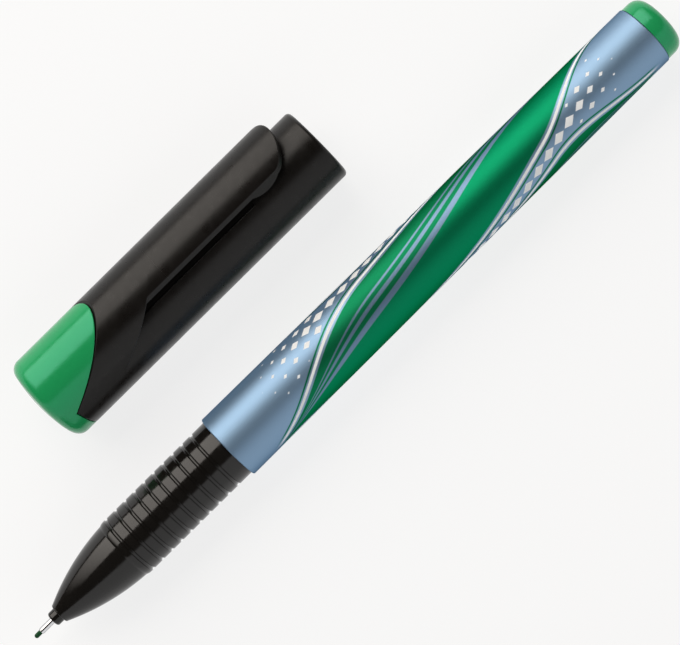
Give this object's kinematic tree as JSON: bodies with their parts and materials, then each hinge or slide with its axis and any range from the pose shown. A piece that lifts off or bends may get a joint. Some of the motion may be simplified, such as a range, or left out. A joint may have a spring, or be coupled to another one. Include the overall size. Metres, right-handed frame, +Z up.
{
  "type": "fineliner pen",
  "caption": "Fineliner pen with a steel-sleeved fibre nib, ribbed grip and printed barrel, its clip cap taken off and laid beside it.",
  "frame": {"origin": "on the table under the middle of the pen and the cap laid beside it", "axes": "+X along the pen from its nib to its end plug, +Y from the pen to the cap beside it, +Z up from the table"},
  "size_m": [0.1252, 0.0348, 0.0139],
  "materials": {
    "metallic_print": "metallic lacquer with a green ribbon print",
    "gloss_black": "polished",
    "satin_black": "satin",
    "gloss_green": "polished",
    "steel": "drawn tube",
    "inked_fibre": "ink-soaked fibre",
    "ink_store": "ink-soaked fibre bundle",
    "clear_film": "thin plastic film"
  },
  "bodies": {
    "pen": {"barrel": "metallic_print", "grip_section": "gloss_black", "nib_holder": "gloss_black", "tip_sleeve": "steel", "writing_core": "inked_fibre", "ink_reservoir": "ink_store", "reservoir_film": "clear_film", "end_plug": "gloss_green"},
    "cap": {"cap_shell": "satin_black", "inner_cap": "gloss_green"},
    "clip": {"cap_clip": "satin_black"}
  },
  "joints": [
    {"name": "cap_slide", "type": "slide", "parent": "pen", "child": "cap", "axis": [-1, 0, 0], "range_m": [0, 0.08]},
    {"name": "clip_flex", "type": "hinge", "parent": "cap", "child": "clip", "pos_m": [-0.01302, 0.01557, 0.0122], "axis": [0, -0.7193, 0.6947], "range_deg": [0, 5], "stiffness_Nm_per_rad": 0.02}
  ]
}
